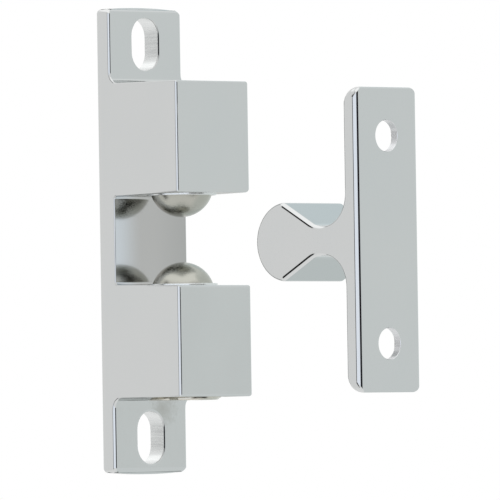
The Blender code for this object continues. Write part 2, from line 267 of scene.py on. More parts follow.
def block_out_casting():
    """Returns the plate's length without its crowned ends, and the height of the gap's inner corners."""
    bpy.ops.object.select_all(action="DESELECT")
    length = BODY_LENGTH - 2 * END_CROWN
    bpy.ops.mesh.primitive_cube_add(
        size=1, location=(PLATE_THICKNESS / 2, 0, 0), scale=(PLATE_THICKNESS, BODY_WIDTH, length)
    )
    open_primitive()
    for z in (-JAW_OUTER_Z, -GAP_HALF, GAP_HALF, JAW_OUTER_Z):
        select_whole()
        bpy.ops.mesh.bisect(plane_co=(0, 0, z), plane_no=(0, 0, 1))
    for side in (1, -1):
        in_jaw = lambda co: GAP_HALF - TINY < side * co.z < JAW_OUTER_Z + TINY
        pick("FACE", lambda co: near(co.x, PLATE_THICKNESS) and in_jaw(co))
        pull(JAW_REACH - PLATE_THICKNESS, 0, 0)
    pick("VERT", side_ridge(GAP_HALF))
    bpy.ops.transform.translate(value=(GAP_FLOOR - PLATE_THICKNESS, 0, 0))
    lean = (JAW_REACH - GAP_FLOOR) * math.tan(JAW_DRAFT)
    bpy.ops.transform.resize(value=(1, 1, 1 - lean / GAP_HALF), center_override=(0, 0, 0))
    select_whole()
    bpy.ops.mesh.dissolve_limited(angle_limit=math.radians(0.1))
    return length, GAP_HALF - lean


casting_length, gap_corner_z = block_out_casting()
print("casting blocked out, inner corners", round(2 * gap_corner_z / MM, 2), "mm apart")

# %% [markdown]
# Each jaw's root has a fillet, and the gap's inner corners have a smaller one. The plate's corners are round
# too, and its two ends bulge in a shallow arc. That arc could be drawn point by point, but lifting the middle
# vertex with proportional editing bends the whole end in one step.

# %% Fillet the roots and crown the ends
JAW_ROOT_RADIUS = 1.3 * MM
GAP_CORNER_RADIUS = 0.45 * MM
BODY_CORNER = 0.6 * MM
ROUND_STEPS = 12
CORNER_SEGMENTS = 8
CROWN_CUTS = 15


def round_casting(length, corner_z):
    pick("EDGE", side_ridge(JAW_OUTER_Z))
    bpy.ops.mesh.bevel(offset=JAW_ROOT_RADIUS, segments=ROUND_STEPS)
    pick("EDGE", lambda co: near(co.x, GAP_FLOOR) and near(abs(co.z), corner_z), along=1)
    bpy.ops.mesh.bevel(offset=GAP_CORNER_RADIUS, segments=ROUND_STEPS)
    pick("EDGE", lambda co: near(abs(co.y), BODY_WIDTH / 2) and near(abs(co.z), length / 2))
    bpy.ops.mesh.bevel(offset=BODY_CORNER, segments=CORNER_SEGMENTS)
    pick("EDGE", lambda co: near(abs(co.z), length / 2), along=1)
    bpy.ops.mesh.subdivide(number_cuts=CROWN_CUTS)


def crown_ends(length):
    for end in (1, -1):
        pick("VERT", lambda co: near(end * co.z, length / 2) and near(co.y, 0))
        bpy.ops.transform.translate(
            value=(0, 0, end * END_CROWN),
            use_proportional_edit=True,
            proportional_edit_falloff="INVERSE_SQUARE",
            proportional_size=BODY_WIDTH / 2,
        )


round_casting(casting_length, gap_corner_z)
crown_ends(casting_length)
print("roots filleted by", JAW_ROOT_RADIUS / MM, "mm, ends crowned by", END_CROWN / MM, "mm")

# %% [markdown]
# ## Rounded edges
# No edge of a polished casting is sharp, and on chrome the edges are most of what is seen. Bevelled one by
# one, they would not close at the corners. So one Bevel modifier rounds them all, and a weight on each edge
# says how wide. Along a bend the weight changes in small steps, so that no crease is left.

# %% Helpers for edge rounds
SHARP_EDGE = math.radians(40)
BEND_OVERLAP = 0.2
BEND_TOLERANCE = 0.01


def soften(radius, widest, test):
    """Writes on the sharp edges that pass a test how wide their round will be, as a share of the widest."""
    bpy.ops.mesh.select_mode(type="EDGE")
    bpy.ops.mesh.select_all(action="DESELECT")
    bpy.ops.mesh.edges_select_sharp(sharpness=SHARP_EDGE)
    mesh = bpy.context.object.data
    shape = bmesh.from_edit_mesh(mesh)
    for edge in shape.edges:
        if edge.select and not all(test(corner.co) for corner in edge.verts):
            edge.select_set(False)
    bmesh.update_edit_mesh(mesh)
    bpy.ops.transform.edge_bevelweight(value=-1)
    bpy.ops.transform.edge_bevelweight(value=radius / widest)


def soften_bend(first, last, widest, centre, reach, test):
    """Lets a round change its width in steps along quarter bends, so that it stays smooth.

    centre is (x, height above and below, z of the middle) and reach is how far the bend goes along x and z.
    """
    for step in range(ROUND_STEPS):
        low = math.pi / 2 * (step - BEND_OVERLAP) / ROUND_STEPS
        high = math.pi / 2 * (step + 1 + BEND_OVERLAP) / ROUND_STEPS

        def in_step(co):
            along_x = abs(centre[0] - co.x) / reach[0]
            along_z = abs(abs(co.z - centre[2]) - centre[1]) / reach[1]
            on_bend = abs(math.hypot(along_x, along_z) - 1) < BEND_TOLERANCE
            return on_bend and low < math.atan2(along_z, along_x) < high

        width = first + (last - first) * (step + 0.5) / ROUND_STEPS
        soften(width, widest, lambda co: test(co) and in_step(co))


def round_edges(piece, widest, segments):
    """Rounds all the edges at once, each by its weight."""
    apply_modifier(
        piece, "BEVEL", width=widest, segments=segments, limit_method="WEIGHT", use_clamp_overlap=False
    )


print("a bend's width changes in", ROUND_STEPS, "steps")

# %% [markdown]
# A polishing wheel doesn't take the same from every edge. It hardly reaches into the gap, and it took most
# from the upper jaw's lower edge on the far side. Edges that run on into each other share a width.

# %% Round every edge of the casting by its own amount
SIDE = BODY_WIDTH / 2
WIDEST_ROUND = 0.7 * MM
UPPER_ROUND = 0.27 * MM
LOWER_ROUND = 0.34 * MM
JAW_NEAR_ROUND = 0.14 * MM
JAW_FAR_ROUND = 0.36 * MM
GAP_NEAR_ROUND = 0.14 * MM
GAP_FAR_ROUND = 0.25 * MM
UPPER_JAW_FAR_ROUND = WIDEST_ROUND
BACK_ROUND = 0.14 * MM
EDGE_SEGMENTS = 5


def soften_outer_edges():
    root = (PLATE_THICKNESS + JAW_ROOT_RADIUS, JAW_OUTER_Z + JAW_ROOT_RADIUS, 0)
    reach = (JAW_ROOT_RADIUS, JAW_ROOT_RADIUS)
    for end, width in ((1, UPPER_ROUND), (-1, LOWER_ROUND)):
        soften(width, WIDEST_ROUND, lambda co: co.z * end > 0)
        for side, outer in ((-1, JAW_NEAR_ROUND), (1, JAW_FAR_ROUND)):
            here = lambda co: co.z * end > 0 and near(co.y, side * SIDE)
            soften(outer, WIDEST_ROUND, lambda co: here(co) and near(abs(co.z), JAW_OUTER_Z))
            soften_bend(width, outer, WIDEST_ROUND, root, reach, here)


def soften_gap_edges():
    for side, inner in ((-1, GAP_NEAR_ROUND), (1, GAP_FAR_ROUND)):
        soften(inner, WIDEST_ROUND, lambda co: abs(co.z) < GAP_HALF + TINY and near(co.y, side * SIDE))
    upper_far = lambda co: 0 < co.z < GAP_HALF + TINY and near(co.y, SIDE)
    on_wall = lambda co: upper_far(co) and co.x > GAP_FLOOR + GAP_CORNER_RADIUS - 2 * TINY
    radius = GAP_CORNER_RADIUS * math.tan((math.pi / 2 + JAW_DRAFT) / 2)
    corner = (GAP_FLOOR + radius, gap_corner_z - GAP_CORNER_RADIUS, 0)
    soften(UPPER_JAW_FAR_ROUND, WIDEST_ROUND, on_wall)
    soften_bend(GAP_FAR_ROUND, UPPER_JAW_FAR_ROUND, WIDEST_ROUND, corner, (radius, radius), upper_far)


soften_outer_edges()
soften_gap_edges()
soften(BACK_ROUND, WIDEST_ROUND, lambda co: near(co.x, 0))
casting = close_piece("catch_casting")
round_edges(casting, WIDEST_ROUND, EDGE_SEGMENTS)
print("casting rounded:", len(casting.data.polygons), "faces")

# %% [markdown]
# ## The screw slots
# Each slot is a milled, round-ended hole, long enough to shift the catch before its screws are tightened. It
# could be a box and two cylinders, but one outline of half turns and straights leaves no seams in it.

# %% Cut the screw slots
SLOT_WIDTH = 4.8 * MM
SLOT_LENGTH = 6.8 * MM
SLOT_Z = 25.3 * MM
SLOT_STEPS = 32
OVERRUN = 1.0 * MM


def cut_screw_slot(side):
    rise = (SLOT_LENGTH - SLOT_WIDTH) / 2
    start_line((-OVERRUN, SLOT_WIDTH / 2, side * SLOT_Z + rise))
    for end in (1, -1):
        centre = (0, 0, side * SLOT_Z + end * rise)
        bpy.ops.mesh.spin(steps=SLOT_STEPS, angle=math.pi, center=centre, axis=(-1, 0, 0))
        pull(0, 0, -end * 2 * rise)
    merge_all()
    bpy.ops.mesh.edge_face_add()
    pull(PLATE_THICKNESS + 2 * OVERRUN, 0, 0)
    combine(casting, close_piece("slot_cutter"), "DIFFERENCE")


for side in (1, -1):
    cut_screw_slot(side)
print("slots cut,", round(2 * SLOT_Z / MM, 1), "mm apart")

# %% [markdown]
# The wheel rolls a slot's front rim over, wider than it is deep. A bevel is as deep as it is wide, so what it
# makes is then pressed flatter.

# %% Roll the slots' rims
SLOT_ROLL = 0.25 * MM
SLOT_ROLL_SEGMENTS = 4
SLOT_ROLL_FLATNESS = 0.45


def off_slot_outline(place):
    """How far a point lies from the outline of the nearer slot, seen from the front."""
    rise = max(abs(abs(place.z) - SLOT_Z) - (SLOT_LENGTH - SLOT_WIDTH) / 2, 0)
    return abs(math.hypot(place.y, rise) - SLOT_WIDTH / 2)


take_up(casting)
bpy.ops.object.mode_set(mode="EDIT")
rim = pick("EDGE", lambda co: near(co.x, PLATE_THICKNESS) and off_slot_outline(co) < TINY)
bpy.ops.mesh.bevel(offset=SLOT_ROLL, segments=SLOT_ROLL_SEGMENTS)
bpy.ops.transform.resize(value=(SLOT_ROLL_FLATNESS, 1, 1), center_override=(PLATE_THICKNESS, 0, 0))
bpy.ops.object.mode_set(mode="OBJECT")
print("slot rims rounded along", rim, "edges")

# %% [markdown]
# ## Turned shapes
# Bores, rings and plugs are turned on a lathe. Stacked cylinders could stand for them, but one half profile,
# spun about its axis, gives every chamfer and shoulder.

# %% Helpers for spinning a profile
TURNED_STEPS = 96


def draw_profile(points, x, side=1):
    """Draws (radius, height) points as a line in the XZ plane, from an axis at x."""
    start_line((x + points[0][0], 0, side * points[0][1]))
    for (r0, z0), (r1, z1) in zip(points, points[1:]):
        line_to((r1 - r0, side * (z1 - z0)))


def spin_all(centre, axis):
    """Turns the drawn line once about an axis."""
    select_whole()
    bpy.ops.mesh.spin(steps=TURNED_STEPS, angle=math.tau, center=centre, axis=axis)
    merge_all()


print("a turned shape has", TURNED_STEPS, "sides")

# %% [markdown]
# ## The ball's bore
# A ball drops into its jaw from the outer end. A low ring round the bore's mouth is staked over, so that the
# ball looks out but can't fall through. The ring is joined on before the bore is cut, and turned by half a
# facet, so that no facet of one lies on a facet of the other.

# %% Stake the collar on and cut the bore
BALL_RADIUS = (ball_high.z - ball_low.z) / 2
BALL_X = (ball_high.x + ball_low.x) / 2
BALL_Z = (ball_high.z + ball_low.z) / 2
BORE_RADIUS = BALL_RADIUS + 0.1 * MM
THREAD_RADIUS = BORE_RADIUS + 0.55 * MM
THREAD_END = 14.9 * MM
BORE_FLARE = 0.32 * MM
COLLAR_HEIGHT = 0.18 * MM
COLLAR_RADIUS = BORE_RADIUS + 0.27 * MM
COLLAR_ROUND = 0.1 * MM
COLLAR_Z = GAP_HALF - (JAW_REACH - BALL_X) * math.tan(JAW_DRAFT) - COLLAR_HEIGHT
LIP_LAND = 0.1 * MM
LIP_CLEARANCE = 0.03 * MM
QUARTER_STEPS = 6


def collar_profile():
    root_z = COLLAR_Z + COLLAR_HEIGHT + OVERRUN
    points = [(0, root_z), (COLLAR_RADIUS, root_z)]
    for step in range(QUARTER_STEPS + 1):
        angle = -math.pi / 2 * step / QUARTER_STEPS
        out = COLLAR_RADIUS - COLLAR_ROUND + COLLAR_ROUND * math.cos(angle)
        points.append((out, COLLAR_Z + COLLAR_ROUND + COLLAR_ROUND * math.sin(angle)))
    return points + [(0, COLLAR_Z)]


def bore_profile():
    mouth = math.sqrt(BALL_RADIUS**2 - (BALL_Z - COLLAR_Z - LIP_LAND) ** 2) + LIP_CLEARANCE
    return [
        (0, JAW_OUTER_Z + OVERRUN),
        (THREAD_RADIUS + BORE_FLARE + OVERRUN, JAW_OUTER_Z + OVERRUN),
        (THREAD_RADIUS, JAW_OUTER_Z - BORE_FLARE),
        (THREAD_RADIUS, THREAD_END),
        (BORE_RADIUS, THREAD_END - (THREAD_RADIUS - BORE_RADIUS)),
        (BORE_RADIUS, BALL_Z),
        (mouth, COLLAR_Z + LIP_LAND),
        (mouth + LIP_LAND / 2, COLLAR_Z - OVERRUN),
        (0, COLLAR_Z - OVERRUN),
    ]


for side in (1, -1):
    for profile, operation, facets in ((collar_profile(), "UNION", 0.5), (bore_profile(), "DIFFERENCE", 0)):
        draw_profile(profile, BALL_X, side)
        spin_all((BALL_X, 0, 0), (0, 0, 1))
        select_whole()
        turn = math.tau * facets / TURNED_STEPS
        bpy.ops.transform.rotate(value=turn, orient_axis="Z", center_override=(BALL_X, 0, 0))
        combine(casting, close_piece("lathe_tool"), operation)
print("casting bored:", len(casting.data.polygons), "faces")

# %% [markdown]
# ## Keeping the flats flat
# Smooth shading lets a small round look round, but it also bends the light on the flat beside it. Weighted
# normals give the big flat faces their own direction back. On chrome that decides whether a face looks ground
# or dented.

# %% Shade a finished metal piece
SHARP = math.radians(30)


def shade_metal(piece):
    take_up(piece)
    bpy.ops.object.shade_smooth_by_angle(angle=SHARP)
    apply_modifier(piece, "WEIGHTED_NORMAL", mode="FACE_AREA", weight=100, keep_sharp=True)


shade_metal(casting)
print("catch_casting shaded")

# %% [markdown]
# ## The strike
# The strike is one casting too, with one section all along its width. It could be a plate and a cylinder
# joined by a web, but the real outline runs on without a break, so it is drawn once: round the head, down
# the slope, through the neck's hollow and up the plate. The lower half mirrors the upper one.

# %% Draw the strike's section
STRIKE_Z = (strike_high.z + strike_low.z) / 2
STRIKE_LENGTH = strike_high.z - strike_low.z
STRIKE_WIDTH = strike_high.y - strike_low.y
STRIKE_THICKNESS = 2.4 * MM
HEAD_RADIUS = 5.0 * MM
HEAD_X = strike_low.x + HEAD_RADIUS
HEAD_SHOULDER = 1.1 * MM
HEAD_WRAP = 97.5
NECK_REACH = 6.5 * MM
NECK_THICKNESS = 3.7 * MM
NECK_RADIUS = 4.0 * MM
HEAD_STEPS = 36
SHOULDER_STEPS = 8


def slope_angle(shoulder, groove):
    """The direction, in degrees, square to the line that touches both the shoulder and the hollow."""
    span = groove - shoulder
    return math.degrees(math.atan2(span.y, span.x) + math.acos((NECK_RADIUS + HEAD_SHOULDER) / span.length))


def half_section():
    wrap = math.radians(HEAD_WRAP)
    shoulder = (HEAD_RADIUS - HEAD_SHOULDER) * Vector((math.cos(wrap), math.sin(wrap)))
    groove = Vector((NECK_REACH, NECK_THICKNESS / 2 + NECK_RADIUS))
    square = slope_angle(shoulder, groove)
    direction = Vector((math.cos(math.radians(square)), math.sin(math.radians(square))))
    slope = (groove - direction * NECK_RADIUS) - (shoulder + direction * HEAD_SHOULDER)
    start_line((HEAD_X - HEAD_RADIUS, 0, STRIKE_Z))
    swing(HEAD_X, STRIKE_Z, HEAD_WRAP - 180, HEAD_STEPS)
    swing(HEAD_X + shoulder.x, STRIKE_Z + shoulder.y, square - HEAD_WRAP, SHOULDER_STEPS)
    line_to((slope.x, slope.y))
    swing(HEAD_X + groove.x, STRIKE_Z + groove.y, 180 - square, HEAD_STEPS)
    top = STRIKE_LENGTH / 2
    line_to((0, top - groove.y), (STRIKE_THICKNESS, 0), (0, -top))
    return square


slope_square = half_section()
print("the head's slope falls by", round(90 - slope_square, 1), "degrees")

# %% [markdown]
# The section is filled and pulled out to the strike's width. The plate's ends are well rounded on the side of
# the tongue, and a little longer up the plate than through it: a bevel makes a round, and stretching turns it
# into an ellipse.

# %% Mirror the section and pull it out
STRIKE_FRONT = strike_high.x - STRIKE_THICKNESS
STRIKE_END_ROUND = 1.75 * MM
STRIKE_END_REACH = 1.9 * MM


def on_end(co):
    """Tests for the plate's two ends."""
    return near(abs(co.z - STRIKE_Z), STRIKE_LENGTH / 2)


def pull_out_section():
    select_whole()
    bpy.ops.mesh.duplicate()
    bpy.ops.transform.resize(value=(1, 1, -1), center_override=(0, 0, STRIKE_Z))
    merge_all()
    bpy.ops.mesh.edge_face_add()
    bpy.ops.transform.translate(value=(0, -STRIKE_WIDTH / 2, 0))
    pull(0, STRIKE_WIDTH, 0)


def round_plate_ends():
    for end in (1, -1):
        pick("EDGE", lambda co: on_end(co) and co.z * end > 0 and near(co.x, STRIKE_FRONT), along=1)
        bpy.ops.mesh.bevel(offset=STRIKE_END_ROUND, segments=ROUND_STEPS)
        bpy.ops.transform.resize(
            value=(1, 1, STRIKE_END_REACH / STRIKE_END_ROUND),
            center_override=(0, 0, STRIKE_Z + end * STRIKE_LENGTH / 2),
        )


pull_out_section()
round_plate_ends()
print("strike section pulled out to", round(STRIKE_WIDTH / MM, 1), "mm")

# %% [markdown]
# The strike's long edges have a broad round, and the plate's corners a wider one, so the width grows along
# the rounded ends. A bend that is tighter than the round on it folds the side face and shows dark lines, so
# the corners stay below the end's own radius.

# %% Round the strike's edges
STRIKE_NEAR_EDGE = 0.60 * MM
STRIKE_FAR_EDGE = 0.48 * MM
STRIKE_NEAR_CORNER = 1.5 * MM
STRIKE_FAR_CORNER = 1.3 * MM
STRIKE_END_EDGE = 0.4 * MM
STRIKE_SEGMENTS = 8


def soften_strike():
    widest = STRIKE_NEAR_CORNER
    bend = (STRIKE_FRONT + STRIKE_END_ROUND, STRIKE_LENGTH / 2 - STRIKE_END_REACH, STRIKE_Z)
    reach = (STRIKE_END_ROUND, STRIKE_END_REACH)
    sides = ((-1, STRIKE_NEAR_EDGE, STRIKE_NEAR_CORNER), (1, STRIKE_FAR_EDGE, STRIKE_FAR_CORNER))
    for side, edge, corner in sides:
        here = lambda co: co.y * side > 0
        soften(edge, widest, here)
        at_end = lambda co: here(co) and abs(co.z - STRIKE_Z) > bend[1] - TINY
        soften_bend(edge, corner, widest, bend, reach, at_end)
        soften(corner, widest, lambda co: here(co) and on_end(co))
    soften(STRIKE_END_EDGE, widest, lambda co: on_end(co) and near(co.x, strike_high.x))


soften_strike()
strike = close_piece("strike_casting")
round_edges(strike, STRIKE_NEAR_CORNER, STRIKE_SEGMENTS)
print("strike rounded:", len(strike.data.polygons), "faces")

# %% [markdown]
# ## The strike's screw holes
# Each hole is drilled through and countersunk from the tongue's side, where the screw head sits, and its
# broken edge at the back catches a thin line of light. That could be two cuts, but one turned tool makes
# both on one axis.

# %% Drill and countersink
SCREW_HOLE = 4.0 * MM
SCREW_SPACING = 26.2 * MM
SCREW_HOLE_WALL = 1.0 * MM
HOLE_EDGE = 0.05 * MM


def drill(z):
    radius = SCREW_HOLE / 2
    depth = STRIKE_THICKNESS - SCREW_HOLE_WALL
    start_line((strike_high.x + OVERRUN, 0, z))
    points = [(OVERRUN, 0), (OVERRUN, radius + HOLE_EDGE), (0, radius + HOLE_EDGE)]
    points += [(-HOLE_EDGE, radius), (-SCREW_HOLE_WALL, radius)]
    points += [(-STRIKE_THICKNESS - OVERRUN, radius + depth + OVERRUN), (-STRIKE_THICKNESS - OVERRUN, 0)]
    for (x0, r0), (x1, r1) in zip(points, points[1:]):
        line_to((x1 - x0, r1 - r0))
    spin_all((strike_high.x, 0, z), (1, 0, 0))
    combine(strike, close_piece("drill"), "DIFFERENCE")


for end in (1, -1):
    drill(STRIKE_Z + end * SCREW_SPACING / 2)
shade_metal(strike)
print("strike drilled:", len(strike.data.polygons), "faces")

# %% [markdown]
# ## The balls
# A bearing ball has no pole and no seam. A sphere primitive has both, so the ball starts as a cube, cut into
# small squares and cast onto a sphere. The lower ball is a copy with its own mesh.

# %% Cast a cube into a ball
BALL_CUTS = 31


def make_ball():
    bpy.ops.object.select_all(action="DESELECT")
    bpy.ops.mesh.primitive_cube_add(size=2 * BALL_RADIUS)
    open_primitive()
    bpy.ops.mesh.subdivide(number_cuts=BALL_CUTS)
    ball = close_piece("upper_bearing_ball")
    apply_modifier(
        ball, "CAST", cast_type="SPHERE", factor=1.0, radius=0.0, size=BALL_RADIUS, use_radius_as_size=False
    )
    bpy.ops.object.shade_smooth()
    return ball


def copy_piece(piece, name):
    """A copy with its own mesh."""
    twin = piece.copy()
    twin.data = piece.data.copy()
    twin.name = twin.data.name = name
    bpy.context.collection.objects.link(twin)
    return twin


def set_in_place(piece, location, flip=False):
    """Moves a piece to its place, upside down for the lower jaw, and writes that into its mesh."""
    piece.location = location
    piece.rotation_euler = (math.pi if flip else 0, 0, 0)
    take_up(piece)
    bpy.ops.object.transform_apply(location=True, rotation=True, scale=True)


upper_ball = make_ball()
lower_ball = copy_piece(upper_ball, "lower_bearing_ball")
set_in_place(upper_ball, (BALL_X, 0, BALL_Z))
set_in_place(lower_ball, (BALL_X, 0, -BALL_Z), flip=True)
print("ball radius", round(BALL_RADIUS / MM, 3), "mm")

# %% [markdown]
# ## The adjusting plugs
# A slotted, threaded plug closes each bore and sets the spring. The real one is turned, slotted and then
# threaded, and the same order is followed here: a spun profile with a pocket for the spring, and a straight
# cut across its top, at the turn that an adjustment left it in.

# %% Turn and slot a plug
PLUG_RADIUS = THREAD_RADIUS - 0.05 * MM
PLUG_CHAMFER = 0.16 * MM
PLUG_POCKET = 1.0 * MM
PLUG_SLOT_WIDTH = 1.2 * MM
PLUG_SLOT_DEPTH = 1.2 * MM
POCKET_RADIUS = 3.75 * MM
PLUG_TURNS = {"upper": math.radians(-25), "lower": math.radians(63)}


def turn_plug(length):
    profile = [
        (0, length),
        (PLUG_RADIUS - PLUG_CHAMFER, length),
        (PLUG_RADIUS, length - PLUG_CHAMFER),
        (PLUG_RADIUS, PLUG_CHAMFER),
        (PLUG_RADIUS - PLUG_CHAMFER, 0),
        (POCKET_RADIUS, 0),
        (POCKET_RADIUS, PLUG_POCKET),
        (0, PLUG_POCKET),
    ]
    draw_profile(profile, 0)
    spin_all((0, 0, 0), (0, 0, 1))
    return close_piece("plug")


def slot_plug(plug, length, turn):
    bpy.ops.object.select_all(action="DESELECT")
    size = (2 * (PLUG_RADIUS + OVERRUN), PLUG_SLOT_WIDTH, 2 * PLUG_SLOT_DEPTH)
    bpy.ops.mesh.primitive_cube_add(size=1, location=(0, 0, length), rotation=(0, 0, turn), scale=size)
    open_primitive()
    combine(plug, close_piece("slitting_saw"), "DIFFERENCE")


print("plug radius", round(PLUG_RADIUS / MM, 2), "mm")

# %% [markdown]
# A thread is cut by a tool that travels one pitch each turn. Rings could pass for one from afar, but they
# have no start and no slope. So a small section, narrow at the thread's root, is swept along a helix by a
# Screw modifier, closed at both ends and cut out of the plug.

# %% Thread the plugs
THREAD_PITCH = 1.0 * MM
THREAD_DEPTH = 0.5 * MM
THREAD_STEPS = 64
GROOVE_OVERLAP = 0.1 * MM
GROOVE_MOUTH = 0.46 * MM
GROOVE_ROOT = 0.06 * MM


def sweep(angle, rise, turns, steps):
    """Sweeps the active object's outline round the Z axis, rising as it goes."""
    apply_modifier(
        bpy.context.object, "SCREW", angle=angle, screw_offset=rise, iterations=turns, steps=steps,
        render_steps=steps, use_merge_vertices=False,
    )


def cap_ends():
    """Opens the swept tube for editing and fills both its ends."""
    bpy.ops.object.mode_set(mode="EDIT")
    select_whole()
    bpy.ops.mesh.fill_holes(sides=0)


def thread_plug(plug, length):
    turns = math.ceil(length / THREAD_PITCH) + 2
    outer = PLUG_RADIUS + GROOVE_OVERLAP
    root = PLUG_RADIUS - THREAD_DEPTH
    section = [(outer, -GROOVE_MOUTH), (outer, GROOVE_MOUTH), (root, GROOVE_ROOT), (root, -GROOVE_ROOT)]
    draw_profile(section, 0)
    select_whole()
    bpy.ops.mesh.edge_face_add()
    bpy.ops.mesh.delete(type="ONLY_FACE")
    bpy.ops.object.mode_set(mode="OBJECT")
    sweep(math.tau, THREAD_PITCH, turns, THREAD_STEPS)
    cap_ends()
    select_whole()
    bpy.ops.transform.translate(value=(0, 0, -THREAD_PITCH))
    combine(plug, close_piece("threading_tool"), "DIFFERENCE")


def stand_in_jaw(piece, low, high, inset=0):
    """Moves a piece that was made on the origin to its node's box, upside down in the lower jaw."""
    if low.z > 0:
        set_in_place(piece, (BALL_X, 0, low.z + inset))
    else:
        set_in_place(piece, (BALL_X, 0, high.z - inset), flip=True)
    shade_metal(piece)


def make_plug(place):
    low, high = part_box(place + "_adjuster")
    length = high.z - low.z
    plug = turn_plug(length)
    slot_plug(plug, length, PLUG_TURNS[place])
    thread_plug(plug, length)
    plug.name = plug.data.name = place + "_threaded_plug"
    stand_in_jaw(plug, low, high)
    return plug


plugs = {place: make_plug(place) for place in ("upper", "lower")}
print("plugs threaded:", [len(plug.data.polygons) for plug in plugs.values()], "faces")

# %% [markdown]
# ## The springs
# A compression spring is a wire wound along a helix, with its end turns closed up so that it stands square.
# A curve with a bevel could draw it too. Here a Screw modifier sweeps a circle evenly, and each ring of
# vertices is then set to the height that a closed end has.

# %% Wind the springs
WIRE_RADIUS = 0.3 * MM
WIRE_SIDES = 12
COIL_RADIUS = 3.2 * MM
COIL_TURNS = 5.5
COIL_STEPS = 220
CLOSED_TURNS = 0.8
CLOSED_SPACING = 1.05


def coil_height(turn, length):
    closed_rise = CLOSED_TURNS * 2 * WIRE_RADIUS * CLOSED_SPACING
    if turn < CLOSED_TURNS:
        return closed_rise * turn / CLOSED_TURNS
    if turn > COIL_TURNS - CLOSED_TURNS:
        return length - closed_rise * (COIL_TURNS - turn) / CLOSED_TURNS
    share = (turn - CLOSED_TURNS) / (COIL_TURNS - 2 * CLOSED_TURNS)
    return closed_rise + (length - 2 * closed_rise) * share


def make_spring(place):
    low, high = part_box(place + "_spring")
    length = high.z - low.z - 2 * WIRE_RADIUS
    bpy.ops.object.select_all(action="DESELECT")
    bpy.ops.mesh.primitive_circle_add(
        vertices=WIRE_SIDES, radius=WIRE_RADIUS, location=(COIL_RADIUS, 0, 0), rotation=(math.pi / 2, 0, 0)
    )
    open_primitive()
    bpy.ops.object.mode_set(mode="OBJECT")
    sweep(COIL_TURNS * math.tau, length, 1, COIL_STEPS)
    for vertex in bpy.context.object.data.vertices:
        turn = (vertex.index // WIRE_SIDES) * COIL_TURNS / COIL_STEPS
        vertex.co.z += coil_height(turn, length) - length * turn / COIL_TURNS
    cap_ends()
    spring = close_piece(place + "_coil_spring")
    stand_in_jaw(spring, low, high, WIRE_RADIUS)
    return spring


springs = {place: make_spring(place) for place in ("upper", "lower")}
print("springs wound:", [len(spring.data.polygons) for spring in springs.values()], "faces")

# %% [markdown]
# ## Metals
# All pieces are metal, so their look comes from the tint, from how far the polish spreads a reflection, and
# from the fine lines of the last wheel. Pictures could be wrapped round them, but lines that nodes compute
# stay sharp at any distance and need no unwrapping.

# %% Helpers for nodes
def new_metal(name, roughness):
    material = bpy.data.materials.new(name)
    material.use_nodes = True
    shader = material.node_tree.nodes["Principled BSDF"]
    shader.inputs["Metallic"].default_value = 1.0
    shader.inputs["Roughness"].default_value = roughness
    return material, material.node_tree, shader


def add_node(tree, kind, inputs=(), **settings):
    """Adds a node, sets its properties, and fills or links its inputs."""
    node = tree.nodes.new(kind)
    for key, value in settings.items():
        setattr(node, key, value)
    for key, value in dict(inputs).items():
        if isinstance(value, bpy.types.NodeSocket):
            tree.links.new(value, node.inputs[key])
        else:
            node.inputs[key].default_value = value
    return node


def maths(tree, operation, *values):
    """One step of arithmetic on sockets or numbers."""
    return add_node(tree, "ShaderNodeMath", dict(enumerate(values)), operation=operation).outputs[0]


def blend_colours(tree, factor, first, second):
    """Mixes two colours, each a socket or three numbers."""
    mix = add_node(tree, "ShaderNodeMix", {0: factor}, data_type="RGBA")
    for index, colour in ((6, first), (7, second)):
        if isinstance(colour, bpy.types.NodeSocket):
            tree.links.new(colour, mix.inputs[index])
        else:
            mix.inputs[index].default_value = (*colour, 1)
    return mix.outputs[2]


print("node helpers ready")

# %% [markdown]
# A polish has a scale and a direction. With coordinates counted in millimetres, noise of scale one has blobs
# a millimetre across, and counting faster across the lines than along them draws the blobs out to scratches.

# %% Helpers for patterns
def millimetres(tree, cycles=(1, 1, 1)):
    """Object coordinates counted in millimetres, times so many cycles along X, Y and Z."""
    place = add_node(tree, "ShaderNodeTexCoord").outputs["Object"]
    scale = tuple(c / MM for c in cycles)
    return add_node(tree, "ShaderNodeMapping", {"Vector": place, "Scale": scale}).outputs["Vector"]


def noise(tree, vector, scale, detail=2.0):
    inputs = {"Vector": vector, "Scale": scale, "Detail": detail}
    return add_node(tree, "ShaderNodeTexNoise", inputs).outputs["Fac"]


def between(tree, factor, low, high):
    """Stretches the middle of a noise to the range low to high."""
    inputs = {"Value": factor, "From Min": 0.3, "From Max": 0.7, "To Min": low, "To Max": high}
    return add_node(tree, "ShaderNodeMapRange", inputs).outputs["Result"]


def finish(tree, shader, tint, rough, *layers):
    """Links a tint, a roughness if it varies, and (height, depth in metres) layers of fine relief."""
    tree.links.new(tint, shader.inputs["Base Color"])
    if rough:
        tree.links.new(rough, shader.inputs["Roughness"])
    normal = None
    for height, depth in layers:
        inputs = {"Height": height, "Distance": depth, "Strength": 1.0}
        if normal:
            inputs["Normal"] = normal
        normal = add_node(tree, "ShaderNodeBump", inputs).outputs["Normal"]
    tree.links.new(normal, shader.inputs["Normal"])


print("pattern helpers ready")

# %% [markdown]
# ## Plated chrome
# Plating is thinner than a hair and hides nothing: the casting's faint waves and the last tool's lines show
# through it. So all the chrome is one recipe. The outside was ground along its length and then buffed; a
# hole's wall keeps the cutter's fine steps and spreads the light more.

# %% Plate, polish and mill
CLOUDS = 0.12
WAVE_DEPTH = 0.012 * MM


